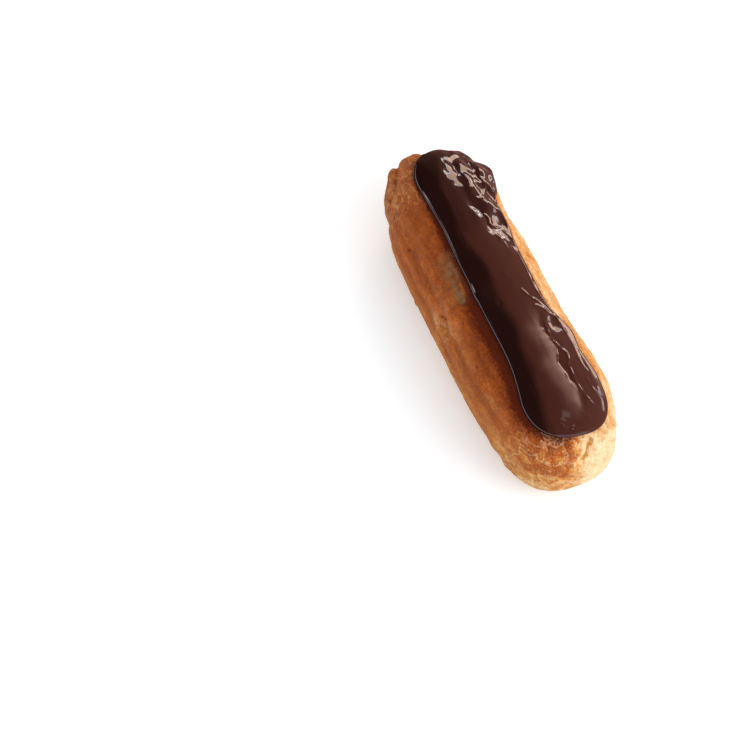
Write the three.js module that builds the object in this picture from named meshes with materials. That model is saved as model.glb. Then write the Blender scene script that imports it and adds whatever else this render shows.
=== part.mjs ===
// Chocolate eclair: a piped choux bun with a chocolate glaze on its top, in millimetres.
// It lies along x, with its folded end at -x, and z is up from the tray.
import * as THREE from "three";
import { mergeVertices } from "three/addons/utils/BufferGeometryUtils.js";

// The bun: its length, its widest half-widths on each side, its height, and the height of its widest line.
const LENGTH = 134.7;
const HALF_LEFT = 21.2;
const HALF_RIGHT = 19.7;
const CRUST_HEIGHT = 33.2;
const AXIS_HEIGHT = 15.2;
// How much of a fully round underside the tray has cut off flat.
const FLAT_CUT = 2;
// The stretch over which each end rounds off, and how full the end, the top and the underside are.
const END_ROUNDING = 26.4;
const END_POWER = 2.27;
const TOP_POWER = 2.2;
const BASE_POWER = 2.8;
// Swellings of the left side, the right side and the top: where along x, how far they spread, how high.
const LEFT_SWELLINGS = [
  { at: 50, spread: 16, rise: -2 },
  { at: -54, spread: 12, rise: -2.4 },
];
const RIGHT_SWELLINGS = [
  { at: -35, spread: 13, rise: -1.5 },
  { at: -56, spread: 10, rise: -0.9 },
  { at: 36, spread: 14, rise: 1.7 },
];
const TOP_SWELLINGS = [
  { at: 13, spread: 14, rise: -0.5 },
  { at: -62, spread: 14, rise: -1.6 },
];

// Lobes of dough folded over at the far end. Each is an oval ball that swells out of the bun,
// with an uneven crease round it that fades out towards the tray.
const FOLDS = [
  { at: [-59, -16, 14], size: [8.3, 12, 9.6], power: 3, swell: 0.8, crease: 1.3, width: 1.4 },
  { at: [-45, 17, 21], size: [14.4, 14.4, 14.4], power: 2, swell: 0.8, crease: 0.9, width: 1.8 },
  { at: [-66, 5, 9], size: [10, 12, 10], power: 2, swell: 0.6, crease: 0.8, width: 1.6 },
  { at: [-61, -5, 20], size: [9, 9, 9], power: 2, swell: 2.2, crease: 0, width: 1 },
];
const FOLD_WAVE = 0.06;
const CREASE_FADES = [7, 17];

// Pits, streaks and a split in the crust, on the plane of the unrolled top: from one point to another.
const MARKS = [
  { from: [-16, -12.4], to: [0, -14.2], half: 1.5, rise: -0.8, lip: 0.35 },
  { from: [1, -23.2], to: [4, -23], half: 1.6, rise: -0.6, lip: 0.4 },
  { from: [5, -23.2], to: [18, -22.2], half: 0.8, rise: -0.4, lip: 0.25 },
  { from: [-53.5, -11.2], to: [-44, -18.5], half: 1.5, rise: -0.55, lip: 0.2 },
  { from: [60.8, 4.2], to: [66, 0.4], half: 1.2, rise: -0.8, lip: 0.35 },
];
const UNROLL_RADIUS = 19;

// Blisters and dents all over the crust that shows, and the faint ridges of the piping nozzle.
const LUMP_SEED = 7;
const LUMP_COUNT = 120;
const LUMP_RADIUS = [3.5, 8];
const LUMP_RISE = [-0.35, 0.45];
const RIDGE_RISE = 0.24;
const RIDGE_PITCH = 6.4;

// The glaze: its thickness, its edges on each side of the top, and how far it runs over each end.
const GLAZE_THICKNESS = 1.5;
const GLAZE_GAP = 0.3;
const BRIDGED = 1;
const GLAZE_FAR = -46;
const GLAZE_NEAR = 46;
const FAR_REACH = 17.5;
const NEAR_REACH = 13.4;
const FAR_POWER = 2.1;
const NEAR_POWER = 2.3;
const LEFT_EDGE = -9.35;
const RIGHT_EDGE = 11.75;
const LEFT_EDGE_WAVES = [
  { at: 13, spread: 8, rise: 0.6 },
  { at: 49, spread: 16, rise: -3.3 },
  { at: -46, spread: 9, rise: 0.7 },
  { at: -27, spread: 8, rise: 1.15 },
];
const RIGHT_EDGE_WAVES = [
  { at: 24, spread: 7, rise: 3.4 },
  { at: 44, spread: 13, rise: 3.9 },
  { at: -22, spread: 7, rise: 0.9 },
  { at: -50, spread: 18, rise: 8.2 },
];

// Mesh density.
const CRUST_CELLS = [62, 14, 20];
const EDGE_STEPS = 36;
const FAN_STEPS = 12;
const RIM_STEPS = 3;
const INNER_STEPS = 5;

const bell = (x, at, spread) => Math.exp(-(((x - at) / spread) ** 2));
const sum = (rows, x) => rows.reduce((total, s) => total + s.rise * bell(x, s.at, s.spread), 0);
const smooth = (t) => {
  const c = Math.min(Math.max(t, 0), 1);
  return c * c * (3 - 2 * c);
};

// Numbers that look random and are the same at each run.
function seeded(seed) {
  let state = seed;
  return (low, high) => {
    state = (Math.imul(state, 1664525) + 1013904223) >>> 0;
    return low + ((high - low) * state) / 4294967296;
  };
}

// A point (u, v) on the plane of the unrolled top, as a ray out of the bun's axis.
const STRAIGHT = LENGTH / 2 - END_ROUNDING;
function rayAt(u, v) {
  const over = Math.sign(u) * Math.max(Math.abs(u) - STRAIGHT, 0);
  const reach = Math.hypot(over, v);
  const turn = reach / UNROLL_RADIUS;
  const k = reach > 1e-9 ? Math.sin(turn) / reach : 1 / UNROLL_RADIUS;
  return { along: u - over, out: new THREE.Vector3(over * k, v * k, Math.cos(turn)) };
}

// The reverse of rayAt.
function unrolled({ along, out }) {
  const turn = Math.acos(Math.min(Math.max(out.z, -1), 1));
  const flat = Math.hypot(out.x, out.y);
  const k = flat > 1e-9 ? (UNROLL_RADIUS * turn) / flat : UNROLL_RADIUS;
  return [along + out.x * k, out.y * k];
}

function pointOn({ along, out }, radius) {
  return new THREE.Vector3(along, 0, AXIS_HEIGHT).addScaledVector(out, radius);
}

// The plain bun: how far its surface is from the axis on a ray.
function plainRadius({ along, out }) {
  const x = along + out.x * END_ROUNDING;
  const side = out.y < 0 ? HALF_LEFT + sum(LEFT_SWELLINGS, x) : HALF_RIGHT + sum(RIGHT_SWELLINGS, x);
  const rise = out.z > 0 ? CRUST_HEIGHT - AXIS_HEIGHT + sum(TOP_SWELLINGS, x) : AXIS_HEIGHT + FLAT_CUT;
  const power = out.z > 0 ? TOP_POWER : BASE_POWER;
  const across = Math.abs(out.y / side) ** power + Math.abs(out.z / rise) ** power;
  const total = Math.abs(out.x / END_ROUNDING) ** END_POWER + across ** (END_POWER / power);
  return total ** (-1 / END_POWER);
}

// The folds: with more softness their creases are wider and shallower.
function foldRelief(point, softness) {
  const { x, y, z } = point;
  const wave = FOLD_WAVE * (Math.sin(0.9 * x + 0.5 * z) + 0.7 * Math.sin(1.6 * y - 0.7 * z));
  const low = smooth((z - CREASE_FADES[0]) / (CREASE_FADES[1] - CREASE_FADES[0]));
  return FOLDS.reduce((total, f) => {
    const away = point.toArray().map((value, i) => Math.abs((value - f.at[i]) / f.size[i]) ** f.power);
    const outside = (away[0] + away[1] + away[2]) ** (1 / f.power) - 1 + wave;
    const wide = f.width + softness;
    const swell = f.swell * smooth(-outside / 0.55);
    const crease = (low * f.crease * f.width) / wide;
    return total + swell - crease * bell(outside * f.size[1], 0, wide);
  }, 0);
}

function makeLumps() {
  const random = seeded(LUMP_SEED);
  return Array.from({ length: LUMP_COUNT }, () => {
    const u = random(-70, 70);
    const side = random(-1, 1) < 0 ? -1 : 1;
    const ray = rayAt(u, Math.abs(u) > 62 ? random(-30, 30) : side * random(15, 34));
    return { at: pointOn(ray, plainRadius(ray)), radius: random(...LUMP_RADIUS), rise: random(...LUMP_RISE) };
  });
}
const LUMPS = makeLumps();

function lumpRelief(point) {
  return LUMPS.reduce((total, lump) => {
    const t = point.distanceTo(lump.at) / lump.radius;
    return total + (t < 1 ? lump.rise * (1 - t * t) ** 2 : 0);
  }, 0);
}

function markRelief(u, v) {
  return MARKS.reduce((total, m) => {
    const du = m.to[0] - m.from[0];
    const dv = m.to[1] - m.from[1];
    const t = ((u - m.from[0]) * du + (v - m.from[1]) * dv) / (du * du + dv * dv);
    const c = Math.min(Math.max(t, 0), 1);
    const away = Math.hypot(u - m.from[0] - c * du, v - m.from[1] - c * dv);
    return total + m.rise * bell(away, 0, m.half) + m.lip * bell(away, 2 * m.half, m.half);
  }, 0);
}

function ridgeRelief(u, v) {
  const wide = Math.abs(v);
  const fade = smooth((wide - 11) / 5) * smooth((40 - wide) / 8) * smooth((62 - Math.abs(u)) / 14);
  return RIDGE_RISE * fade * Math.cos((2 * Math.PI * v) / RIDGE_PITCH + 0.9 * Math.sin(u / 17));
}

// The crust: how far it is from the axis on a ray, with all its relief.
function crustRadius(ray) {
  const plain = plainRadius(ray);
  const point = pointOn(ray, plain);
  const [u, v] = unrolled(ray);
  return plain + foldRelief(point, 0) + lumpRelief(point) + markRelief(u, v) + ridgeRelief(u, v);
}

// The surface that the glaze lies on: it bridges the creases and the small dents.
function bedRadius(u, v) {
  const ray = rayAt(u, v);
  const plain = plainRadius(ray);
  const soft = plain + foldRelief(pointOn(ray, plain), 1.5);
  const near = [[0, 0], [BRIDGED, 0], [-BRIDGED, 0], [0, BRIDGED], [0, -BRIDGED]];
  return Math.max(soft, ...near.map(([du, dv]) => crustRadius(rayAt(u + du, v + dv))));
}

function choux() {
  const [nx, ny, nz] = CRUST_CELLS;
  const box = new THREE.BoxGeometry(2, 2, 2, nx, ny, nz);
  box.deleteAttribute("normal");
  box.deleteAttribute("uv");
  const crust = mergeVertices(box);
  const p = crust.getAttribute("position");
  for (let i = 0; i < p.count; i++) {
    const x = (p.getX(i) * LENGTH) / 2;
    const along = Math.min(Math.max(x, -STRAIGHT), STRAIGHT);
    const half = (HALF_LEFT + HALF_RIGHT) / 2;
    const out = new THREE.Vector3(x - along, p.getY(i) * half, (p.getZ(i) * CRUST_HEIGHT) / 2).normalize();
    const ray = { along, out };
    const point = pointOn(ray, crustRadius(ray));
    p.setXYZ(i, point.x, point.y, Math.max(point.z, 0));
  }
  return crust;
}

// The line down the middle of the glaze, and its edge on each side.
const spine = (u) => 2 + 7.1 * smooth((-26 - u) / 20) + 0.8 * smooth((u - 26) / 20);
const leftEdge = (u) => LEFT_EDGE + sum(LEFT_EDGE_WAVES, u);
const rightEdge = (u) => RIGHT_EDGE + sum(RIGHT_EDGE_WAVES, u);

// The spokes of the glaze, once round: each from its middle out to its edge.
function glazeSpokes() {
  const spokes = [];
  const step = (GLAZE_NEAR - GLAZE_FAR) / EDGE_STEPS;
  const fan = (u, reach, power, way) => {
    const widths = { right: rightEdge(u) - spine(u), left: spine(u) - leftEdge(u) };
    for (let k = 1; k < FAN_STEPS; k++) {
      const turn = (Math.PI * k) / FAN_STEPS;
      const x = Math.sin(turn);
      const y = way * Math.cos(turn);
      const side = y > 0 ? widths.right : widths.left;
      const r = ((x / reach) ** power + Math.abs(y / side) ** power) ** (-1 / power);
      spokes.push({ middle: [u, spine(u)], edge: [u + way * x * r, spine(u) + y * r] });
    }
  };
  for (let k = 0; k <= EDGE_STEPS; k++) {
    const u = GLAZE_FAR + k * step;
    spokes.push({ middle: [u, spine(u)], edge: [u, rightEdge(u)] });
  }
  fan(GLAZE_NEAR, NEAR_REACH, NEAR_POWER, 1);
  for (let k = EDGE_STEPS; k >= 0; k--) {
    const u = GLAZE_FAR + k * step;
    spokes.push({ middle: [u, spine(u)], edge: [u, leftEdge(u)] });
  }
  fan(GLAZE_FAR, FAR_REACH, FAR_POWER, -1);
  return spokes;
}

// Rings from the edge inwards: a rounded rim, then the flat of the glaze, as (u, v, height) for each spoke.
function glazeRings(spokes) {
  const count = spokes.length;
  const inward = spokes.map((s, i) => {
    const a = spokes[(i + count - 1) % count].edge;
    const b = spokes[(i + 1) % count].edge;
    const size = Math.hypot(b[0] - a[0], b[1] - a[1]);
    return [(b[1] - a[1]) / size, (a[0] - b[0]) / size];
  });
  const rim = (turn) =>
    spokes.map(({ edge }, i) => {
      const back = GLAZE_THICKNESS * (1 - Math.cos(turn));
      const [u, v] = [0, 1].map((n) => edge[n] + inward[i][n] * back);
      return [u, v, GLAZE_THICKNESS * Math.sin(turn)];
    });
  const rings = [];
  for (let k = 0; k <= RIM_STEPS; k++) rings.push(rim((Math.PI / 2) * (k / RIM_STEPS)));
  const start = rings[RIM_STEPS];
  for (let k = 1; k <= INNER_STEPS; k++) {
    const t = k / INNER_STEPS;
    const mix = (s, i, n) => start[i][n] * (1 - t) + s.middle[n] * t;
    rings.push(spokes.map((s, i) => [mix(s, i, 0), mix(s, i, 1), GLAZE_THICKNESS]));
  }
  return rings;
}

function glaze() {
  const rings = glazeRings(glazeSpokes());
  const count = rings[0].length;
  const positions = [];
  for (const full of [1, 0])
    for (const ring of rings)
      for (const [u, v, height] of ring)
        positions.push(...pointOn(rayAt(u, v), bedRadius(u, v) + GLAZE_GAP + full * height).toArray());
  const faces = [];
  const under = rings.length * count;
  for (let k = 0; k + 1 < rings.length; k++)
    for (let i = 0; i < count; i++) {
      const j = (i + 1) % count;
      const a = k * count + i;
      const b = k * count + j;
      const c = a + count;
      const d = b + count;
      faces.push(a, d, b, a, c, d);
      faces.push(under + a, under + b, under + d, under + a, under + d, under + c);
    }
  const skin = new THREE.BufferGeometry();
  skin.setAttribute("position", new THREE.Float32BufferAttribute(positions, 3));
  skin.setIndex(faces);
  const merged = mergeVertices(skin, 1e-3);
  const index = merged.getIndex().array;
  const kept = [];
  for (let i = 0; i < index.length; i += 3) {
    const [a, b, c] = index.subarray(i, i + 3);
    if (a !== b && b !== c && c !== a) kept.push(a, b, c);
  }
  merged.setIndex(kept);
  return merged;
}

const group = new THREE.Group();
function add(name, geometry, look) {
  const mesh = new THREE.Mesh(geometry, new THREE.MeshStandardMaterial(look));
  mesh.name = name;
  group.add(mesh);
}
add("choux_crust", choux(), { color: 0xb8743c, roughness: 0.75 });
add("chocolate_glaze", glaze(), { color: 0x2e1611, roughness: 0.12 });

export default group;
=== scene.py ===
import math

import bpy
import numpy as np
from bpy.props import FloatProperty, FloatVectorProperty, IntProperty, PointerProperty
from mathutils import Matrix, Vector


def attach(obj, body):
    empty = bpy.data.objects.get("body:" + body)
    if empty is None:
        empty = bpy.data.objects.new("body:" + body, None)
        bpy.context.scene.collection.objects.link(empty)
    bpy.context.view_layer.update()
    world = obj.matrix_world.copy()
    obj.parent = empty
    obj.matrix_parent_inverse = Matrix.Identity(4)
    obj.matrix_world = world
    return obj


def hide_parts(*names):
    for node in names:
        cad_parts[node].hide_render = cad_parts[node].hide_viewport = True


bl_info = {
    "name": "Chocolate eclair",
    "version": (1, 0, 0),
    "blender": (4, 5, 0),
    "location": "View3D > Sidebar > Eclair",
    "description": "A baked choux bun with a glossy chocolate glaze on its top",
    "category": "Add Mesh",
}

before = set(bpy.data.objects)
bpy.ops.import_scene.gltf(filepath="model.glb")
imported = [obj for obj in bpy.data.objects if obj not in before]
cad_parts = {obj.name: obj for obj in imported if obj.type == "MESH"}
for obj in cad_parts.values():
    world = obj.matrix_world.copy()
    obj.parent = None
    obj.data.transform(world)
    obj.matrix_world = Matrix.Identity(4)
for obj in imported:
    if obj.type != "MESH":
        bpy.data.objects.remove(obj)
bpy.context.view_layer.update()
MM = 0.001

# The bun's form, in mm. It lies along x with its folded end at -x. A swelling's row says where along x, its
# spread and its rise.
FLAT_CUT = 2.0
END_POWER, TOP_POWER, BASE_POWER = 2.27, 2.2, 2.8
LEFT_SWELLINGS = [(50, 16, -2.0), (-54, 12, -2.4)]
RIGHT_SWELLINGS = [(-35, 13, -1.5), (-56, 10, -0.9), (36, 14, 1.7)]
TOP_SWELLINGS = [(13, 14, -0.5), (-62, 14, -1.6)]

# Folded lobes at the far end: middle, half sizes, power of the oval, swell, and depth and half width of the
# crease round the lobe.
FOLDS = [
    ((-59, -16, 14), (8.3, 12, 9.6), 3, 0.8, 1.3, 1.1),
    ((-45, 17, 21), (14.4, 14.4, 14.4), 2, 0.8, 0.9, 1.8),
    ((-66, 5, 9), (10, 12, 10), 2, 0.6, 0.8, 1.3),
    ((-61, -5, 20), (9, 9, 9), 2, 2.2, 0.0, 1.0),
]
# How far the creases wander and the swell's shoulder reaches, as shares of the oval, and the heights between
# which the creases fade out.
FOLD_WAVE = 0.06
FOLD_SHOULDER = 0.55
CREASE_FADES = (7, 17)

# Marks in the crust, on the plane of the unrolled top: from, to, half width, rise, lip.
MARKS = {
    "crater": ((-16, -12.4), (0, -14.2), 1.5, -0.8, 0.35),
    "blister": ((1, -23.2), (4, -23), 1.6, -0.6, 0.4),
    "streak": ((5, -23.2), (18, -22.2), 0.8, -0.4, 0.25),
    "groove": ((-53.5, -11.2), (-44, -18.5), 1.5, -0.55, 0.2),
    "split": ((60.8, 4.4), (65.6, 0.4), 0.36, -0.55, 0.45),
}
UNROLL_RADIUS = 19.0

# Lines in the crust's colour beside those marks: from, to.
CRATER_RIM = ((-17, -10.6), (1, -12))
STREAK_LIP = ((4, -21.6), (24, -20.2))
BLISTER_BLOOM = ((-1, -24), (5, -23))

# Small pits, painted as dark spots (painted shade) with no dent of their own: where on the plane of the
# unrolled top, and radius.
PITS = [
    (-0.8, -23.1, 0.5),
    (1.5, -21.6, 0.6),
    (-29, -22, 0.5),
    (-34, -20.5, 0.4),
    (24, -19, 0.4),
    (-45, -22.5, 0.55),
    (-43.4, -23.4, 0.4),
    (-55.4, -20.2, 0.6),
]

# Blisters and dents: seed, count, radius from and to, rise from and to, and how far to the sides they lie on
# the unrolled top. On the rounded ends they lie anywhere.
LUMPS = (7, 120, (3.5, 8.0), (-0.35, 0.45), (15, 34))
BLISTERS = (23, 260, (1.2, 3.0), (-0.16, 0.24), (9, 40))
SCATTER_REACH, SCATTER_ENDS, SCATTER_END_WIDTH = 70, 62, 30

# Faint ridges left by the piping, along the sides.
RIDGE_RISE, RIDGE_PITCH = 0.24, 6.4

# The glaze on the same plane: the ends of its middle line, how far it runs past them, and its side edges. A
# wave's row says where, its spread and its rise.
GLAZE_FAR, GLAZE_NEAR = -46.0, 46.0
FAR_REACH, NEAR_REACH = 17.5, 13.4
FAR_POWER, NEAR_POWER = 2.1, 2.3
GLAZE_SIDES = ("right", "near", "left", "far")
EDGE_STEPS = 120
LEFT_EDGE, RIGHT_EDGE = -9.35, 11.75
LEFT_EDGE_WAVES = [(15, 13, -0.35), (2.5, 3, -0.45), (50, 13.5, -3.0), (-46, 9, -0.2), (-27, 9, 0.5)]
RIGHT_EDGE_WAVES = [(24, 7, 3.4), (44, 13, 3.9), (-22, 7, 0.9), (-50, 18, 8.2)]

# The middle line's place across, and its bends to the right: where each starts, its reach, its shift.
SPINE, SPINE_BENDS = 2, ((-26, -20, 7.1), (26, 20, 0.8))

# How much wider the creases are under the glaze, which bridges them.
BED_SOFTNESS = 1.5

# Terraces, where the glaze falls towards a crease that runs along it and rises again beyond it: the crease's
# points, how deep it is, and how far the fall before it and the rise after it reach.
TERRACES = [
    ([(-70, 10), (-62, 8), (-54, 6), (-48, 5), (-43.8, 3.6), (-40, 4.2), (-36.8, 4.4), (-32.4, 3.8),
      (-28, 5), (-24, 5.8), (-21, 5.6), (-16, 6.4), (-10, 7)], 0.5, 1.4, 4.0),
    ([(17.5, 7), (21, 5.8), (23.4, 6), (26.4, 6.2), (30, 6.8), (32.4, 6.5), (34.6, 5.4), (36.4, 4.9),
      (38, 4.9), (40, 5.3), (42, 5.3), (44.4, 5.5), (46, 6.1), (48.2, 6.4), (50, 6.3), (52, 5.8),
      (54, 4.7), (58, 3.6)], 0.8, 1.7, 5.0),
]
TERRACE_FADE = 5

# Threads of glaze: points along each, half width, rise, and the share of a thread over which each end fades.
THREAD_FADE = 0.15
THREADS = [
    ([(5, 4.6), (9.2, 6.2), (12, 8.2), (15, 9.4)], 0.45, 0.18),
    ([(19.2, 5.4), (20.6, 6.8), (24, 6.4), (28, 6.6), (31.6, 7.6), (33.6, 8.3), (36.4, 7.8), (37.8, 7),
      (41.4, 6.8), (45.2, 6.6), (48, 7), (51, 7.8), (53.4, 8.8), (55, 10.2)], 0.45, 0.26),
    ([(17, 10.4), (19, 11.4), (22, 11.9), (25.2, 12), (28.2, 12), (31.2, 11.8), (34, 11.5), (37, 11.2),
      (40, 11.4), (43, 12.3)], 0.4, 0.12),
    ([(13, 6), (14.4, 8.2), (17.6, 10.2), (20, 12.2)], 0.6, 0.16),
    ([(43, 10.4), (47, 10.6), (51, 12)], 0.4, 0.12),
    ([(53, 3.5), (56.5, 5.5)], 0.6, 0.16),
    ([(54, -4), (56.4, -1.5), (57.2, 1.2)], 0.7, 0.2),
    ([(-12, 9.4), (-6, 10), (0, 9.8), (6, 9.6), (12, 10.2)], 0.45, 0.14),
    ([(-36.6, 6.4), (-34.4, 5.9), (-33, 6.6), (-33.6, 8.4), (-37, 10.6), (-40.8, 12), (-43.6, 11.6),
      (-47, 12.8)], 0.6, 0.3),
    ([(-50, 18), (-45, 16.6), (-40.4, 14.9), (-36.4, 15), (-32.6, 13.8)], 0.6, 0.26),
    ([(-27.2, 5.2), (-24.8, 6.4), (-22, 6), (-20.6, 7.8), (-21, 10.4)], 0.55, 0.26),
    ([(-18.6, 6), (-15.6, 6.7), (-13.2, 6.4)], 0.5, 0.18),
    ([(-19.8, 9.2), (-16.4, 10.2), (-14, 10.7)], 0.5, 0.2),
]

# Single dents and swellings of the glaze: middle, radius along, radius across, rise.
DABS = [
    ((8.3, -3.2), 1.3, 1.1, -0.34),
    ((5, -6), 7, 4, -0.3),
    ((3.4, -7.8), 4.2, 2.0, 0.5),
    ((-1, 2.5), 1.2, 0.8, 0.1),
    ((-57, 10.5), 4, 3.5, 0.4),
    ((26, -5), 14, 5, 0.12),
    ((54.2, -3.8), 0.8, 0.7, 0.12),
    ((56, -2.4), 0.7, 0.9, 0.12),
    ((57.2, 1.2), 0.6, 0.8, 0.1),
    ((56, 6), 0.8, 0.8, 0.1),
]

# Patches where the glaze set unevenly: middle, reach along and across, share of the full ripples.
RIPPLED = (
    ((49, 5.4), 5, 1.8, 0.85),
    ((55.5, -1.5), 2.5, 4, 0.16),
    ((18.5, 9), 5, 2.6, 1.0),
)
UNDERSIDE_SINK = 0.5

# Cells of the fine meshes: the bun's along, across and up, the glaze's along and across, and its rim's.
BUN_CELLS = (276, 54, 92)
GLAZE_CELLS, RIM_CELLS = (456, 104), 10


def bell(x, at, spread):
    return np.exp(-(((x - at) / spread) ** 2))


def total(rows, x):
    return sum(rise * bell(x, at, spread) for at, spread, rise in rows)


def smooth(t):
    t = np.clip(t, 0, 1)
    return t * t * (3 - 2 * t)


# The rule of the draws: each number follows from the last by a factor and a step, within a range.
DRAW_FACTOR, DRAW_STEP, DRAW_RANGE = 1664525, 1013904223, 2**32


def seeded(seed):
    """Numbers that look random and are the same at each run."""
    state = seed

    def draw(low, high):
        nonlocal state
        state = (state * DRAW_FACTOR + DRAW_STEP) % DRAW_RANGE
        return low + (high - low) * state / DRAW_RANGE

    return draw


class Bun:
    """The choux bun as a rule: how far its surface lies from its axis on any ray out of the axis, in mm."""

    def __init__(self, sizes):
        self.length = sizes.length / MM
        self.left = sizes.half_left / MM
        self.right = sizes.half_right / MM
        self.height = sizes.height / MM
        self.axis = sizes.axis_height / MM
        self.end = sizes.end_rounding / MM
        self.straight = self.length / 2 - self.end
        self.lumps = self.scatter(LUMPS) + self.scatter(BLISTERS)

    def ray(self, u, v):
        """A point of the unrolled top as a ray: where it leaves the axis, and its direction."""
        over = np.sign(u) * np.maximum(np.abs(u) - self.straight, 0)
        reach = np.hypot(over, v)
        k = np.sin(reach / UNROLL_RADIUS) / np.maximum(reach, 1e-9)
        k = np.where(reach > 1e-9, k, 1 / UNROLL_RADIUS)
        return u - over, np.stack([over * k, v * k, np.cos(reach / UNROLL_RADIUS)], -1)

    def unrolled(self, along, out):
        """The point of the unrolled top that a ray meets."""
        flat = np.hypot(out[..., 0], out[..., 1])
        k = UNROLL_RADIUS * np.arccos(np.clip(out[..., 2], -1, 1)) / np.maximum(flat, 1e-9)
        return along + out[..., 0] * k, out[..., 1] * k

    def point(self, along, out, radius):
        p = out * np.asarray(radius)[..., None]
        p[..., 0] += along
        p[..., 2] += self.axis
        return p

    def plain(self, along, out):
        """The smooth piped form: its side, top and base swell along the bun, and its ends are rounded."""
        x, y, z = along + out[..., 0] * self.end, out[..., 1], out[..., 2]
        side = np.where(y < 0, self.left + total(LEFT_SWELLINGS, x), self.right + total(RIGHT_SWELLINGS, x))
        rise = np.where(z > 0, self.height - self.axis + total(TOP_SWELLINGS, x), self.axis + FLAT_CUT)
        power = np.where(z > 0, TOP_POWER, BASE_POWER)
        across = np.abs(y / side) ** power + np.abs(z / rise) ** power
        ahead = np.abs(out[..., 0] / self.end) ** END_POWER
        return (ahead + across ** (END_POWER / power)) ** (-1 / END_POWER)

    def folds(self, point, softness=0.0):
        relief = 0.0
        for at, size, power, swell, crease, width in FOLDS:
            outside = past_fold(point, at, size, power)
            wide = width + softness
            depth = crease * crease_fade(point) * width / wide
            relief = relief + swell * smooth(-outside / FOLD_SHOULDER)
            relief = relief - depth * bell(outside * size[1], 0, wide)
        return relief

    def scatter(self, rule):
        """Blisters and dents as rows of point, radius and rise."""
        seed, count, radii, rises, sideways = rule
        draw = seeded(seed)
        rows = []
        for _ in range(count):
            u = draw(-SCATTER_REACH, SCATTER_REACH)
            side = -1 if draw(-1, 1) < 0 else 1
            at_end = abs(u) > SCATTER_ENDS
            v = draw(-SCATTER_END_WIDTH, SCATTER_END_WIDTH) if at_end else side * draw(*sideways)
            along, out = self.ray(np.array(float(u)), np.array(float(v)))
            point = self.point(along, out, self.plain(along, out))
            rows.append((point, draw(*radii), draw(*rises)))
        return rows

    def lump_relief(self, point):
        relief = np.zeros(point.shape[:-1])
        for at, radius, rise in self.lumps:
            near = np.abs(point[..., 0] - at[0]) < radius
            t = np.linalg.norm(point[near] - at, axis=-1) / radius
            relief[near] += np.where(t < 1, rise * (1 - t * t) ** 2, 0)
        return relief

    def mark_relief(self, u, v):
        relief = 0.0
        for start, stop, half, rise, lip in MARKS.values():
            away = distance_to(u, v, start, stop)
            away = away + 0.3 * half * (np.sin(2.1 * u) + np.sin(1.7 * v + u))
            relief = relief + rise * bell(away, 0, half) + lip * bell(away, 2 * half, half)
        return relief

    def ridge_relief(self, u, v):
        wide = np.abs(v)
        fade = smooth((wide - 11) / 5) * smooth((40 - wide) / 8) * smooth((62 - np.abs(u)) / 14)
        return RIDGE_RISE * fade * np.cos(2 * math.pi * v / RIDGE_PITCH + 0.9 * np.sin(u / 17))

    def crust(self, along, out):
        """The baked bun with all its relief."""
        plain = self.plain(along, out)
        point = self.point(along, out, plain)
        u, v = self.unrolled(along, out)
        radius = plain + self.folds(point) + self.lump_relief(point)
        return radius + self.mark_relief(u, v) + self.ridge_relief(u, v)

    def bed(self, u, v):
        """What the glaze lies on: the bun with its creases softened and its small dents bridged."""
        along, out = self.ray(u, v)
        plain = self.plain(along, out)
        return plain + self.folds(self.point(along, out, plain), BED_SOFTNESS)


def past_fold(point, at, size, power):
    """How far points lie outside a fold's oval, as a share of its size."""
    x, y, z = point[..., 0], point[..., 1], point[..., 2]
    wave = FOLD_WAVE * (np.sin(0.9 * x + 0.5 * z) + 0.7 * np.sin(1.6 * y - 0.7 * z))
    away = np.abs((point - np.array(at)) / np.array(size)) ** power
    return away.sum(-1) ** (1 / power) - 1 + wave


def crease_fade(point):
    """The creases are deep high up and gone near the base."""
    low, high = CREASE_FADES
    return smooth((point[..., 2] - low) / (high - low))


def distance_to(u, v, start, stop):
    """How far each place is from the straight line between two points."""
    du, dv = stop[0] - start[0], stop[1] - start[1]
    t = np.clip(((u - start[0]) * du + (v - start[1]) * dv) / (du * du + dv * dv), 0, 1)
    return np.hypot(u - start[0] - t * du, v - start[1] - t * dv)


def cube_grid(nx, ny, nz):
    """The surface of a box cut into cells: its points from -1 to 1, and its faces."""
    cells = np.array([nx, ny, nz])
    corners = ((0, 0), (1, 0), (1, 1), (0, 1))
    faces = []
    for axis in range(3):
        a, b = (axis + 1) % 3, (axis + 2) % 3
        i, j = np.indices((cells[a], cells[b])).reshape(2, -1)
        for end in (0, cells[axis]):
            quads = np.zeros((len(i), 4, 3), int)
            quads[..., axis] = end
            for k, (di, dj) in enumerate(corners if end else corners[::-1]):
                quads[:, k, a] = i + di
                quads[:, k, b] = j + dj
            faces.append(quads)
    points, index = np.unique(np.concatenate(faces).reshape(-1, 3), axis=0, return_inverse=True)
    return points / cells * 2 - 1, index.reshape(-1, 4)


def spine(u):
    return SPINE + sum(shift * smooth((u - start) / reach) for start, reach, shift in SPINE_BENDS)


def left_edge(u):
    return LEFT_EDGE + total(LEFT_EDGE_WAVES, u)


def right_edge(u):
    return RIGHT_EDGE + total(RIGHT_EDGE_WAVES, u)


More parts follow.
